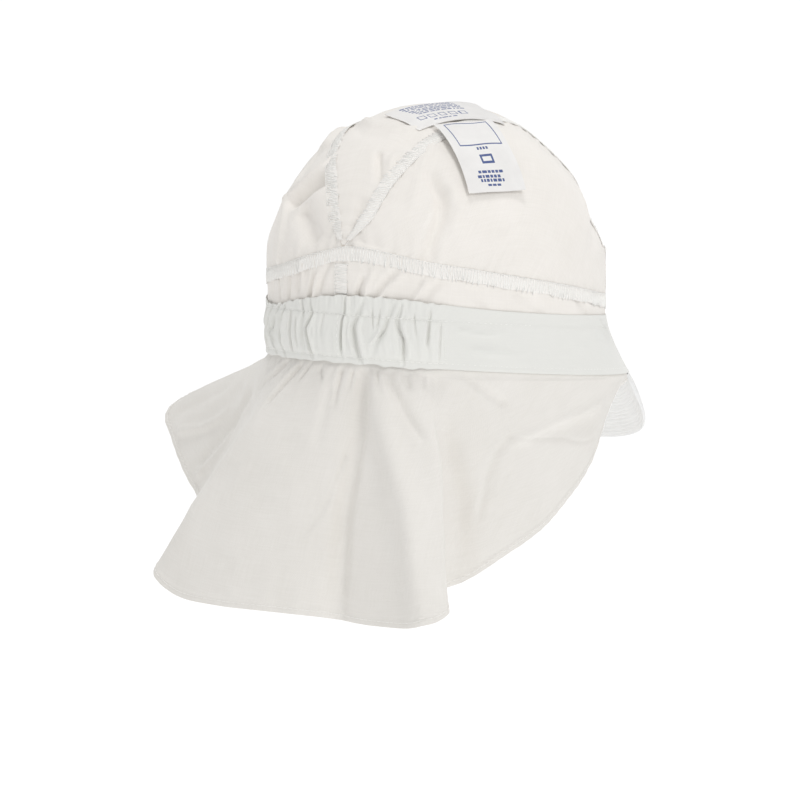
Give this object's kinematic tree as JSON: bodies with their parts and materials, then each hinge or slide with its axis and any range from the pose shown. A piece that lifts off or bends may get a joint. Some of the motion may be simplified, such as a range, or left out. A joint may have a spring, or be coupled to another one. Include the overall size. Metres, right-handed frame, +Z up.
{
  "type": "legionnaire cap",
  "caption": "Child's light cotton cap turned inside out, with overlocked seams outside, elastic headband, long neck flap and short peak.",
  "frame": {"origin": "middle of the head opening, on the plane of the headband's lower edge, where the head goes in", "axes": "+Z up through the crown, -Y towards the peak (the wearer's front), -X towards the wearer's right"},
  "size_m": [0.2203, 0.245, 0.2285],
  "materials": {
    "crown_cloth": "thin plain-weave cotton, warm white, matt",
    "overlock_edge": "raw cloth edge wrapped in white overlock thread",
    "band_cloth": "smooth cotton poplin, cool white, gathered by elastic at the back",
    "flap_cloth": "thin plain-weave cotton, warm white, with a narrow stitched hem",
    "peak_cloth": "white cotton over a thin stiffener, with fine rows of stitches",
    "label_ribbon": "smooth white satin ribbon with plain blue print"
  },
  "bodies": {
    "root": {"crown_top_panel": "crown_cloth", "crown_side_panel_right": "crown_cloth", "crown_side_panel_left": "crown_cloth", "crown_base_strip": "crown_cloth", "seam_allowance_right": "overlock_edge", "seam_allowance_left": "overlock_edge", "seam_allowance_round": "overlock_edge", "seam_allowance_back": "overlock_edge", "headband": "band_cloth", "neck_flap": "flap_cloth", "peak": "peak_cloth", "care_label": "label_ribbon", "name_label": "label_ribbon"}
  },
  "joints": []
}
